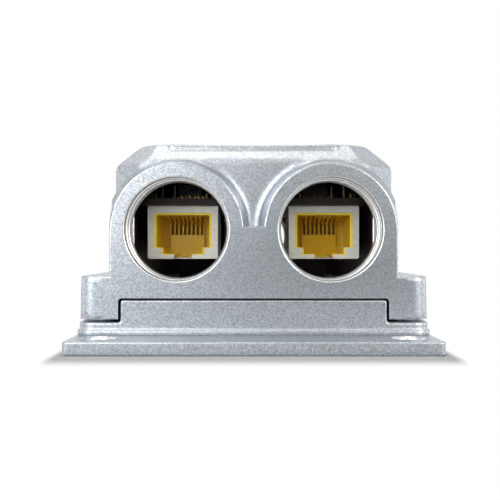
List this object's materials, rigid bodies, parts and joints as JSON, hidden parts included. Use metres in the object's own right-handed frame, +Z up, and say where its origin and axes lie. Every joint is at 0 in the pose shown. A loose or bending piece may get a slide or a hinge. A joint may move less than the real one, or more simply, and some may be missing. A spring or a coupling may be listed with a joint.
{
  "type": "poe extender",
  "caption": "Weatherproof die-cast power over Ethernet extender with round threaded cable ports, shielded network jacks inside and a drilled mounting plate.",
  "frame": {"origin": "bottom centre: the middle of the mounting plate's underside", "axes": "+Y along the length, towards the single input port; the two output ports face -Y; +Z up; +X towards the side of the earth screw"},
  "size_m": [0.074, 0.1186, 0.0432],
  "materials": {
    "cast_paint": "satin metallic powder coat",
    "plate_paint": "satin metallic powder coat",
    "seal_rubber": "matt",
    "screw_steel": "turned",
    "board_laminate": "solder mask",
    "transformer_case": "moulded",
    "ferrite": "sintered",
    "winding_tape": "taped",
    "copper_wire": "enamelled wire",
    "capacitor_sleeve": "sleeved can",
    "chip_plastic": "moulded",
    "crystal_can": "drawn can",
    "arrester_tube": "fired",
    "lamp_body": "clear cast",
    "clear_guide": "clear moulded",
    "tinned_shield": "tin plated",
    "insert_plastic": "moulded",
    "contact_plating": "gold plated"
  },
  "bodies": {
    "root": {"housing": "cast_paint", "base_cover": "cast_paint", "mount_plate": "plate_paint", "seal_cord": "seal_rubber", "cover_screws": "screw_steel", "plate_screws": "screw_steel", "board_screws": "screw_steel", "earth_screw": "screw_steel", "earth_washer": "screw_steel", "main_board": "board_laminate", "port_transformers": "transformer_case", "power_transformer_core": "ferrite", "choke_core": "ferrite", "power_transformer_winding": "winding_tape", "choke_winding": "copper_wire", "bulk_capacitors": "capacitor_sleeve", "rectifier_bridges": "chip_plastic", "switch_chip": "chip_plastic", "power_transistors": "chip_plastic", "sense_resistor": "chip_plastic", "supply_controllers": "chip_plastic", "device_controller": "chip_plastic", "clock_crystal": "crystal_can", "surge_arresters": "arrester_tube", "status_lamps": "lamp_body", "light_guides": "clear_guide", "out_port_1_shield": "tinned_shield", "out_port_1_insert": "insert_plastic", "out_port_1_contacts": "contact_plating", "out_port_2_shield": "tinned_shield", "out_port_2_insert": "insert_plastic", "out_port_2_contacts": "contact_plating", "in_port_shield": "tinned_shield", "in_port_insert": "insert_plastic", "in_port_contacts": "contact_plating"}
  },
  "joints": []
}
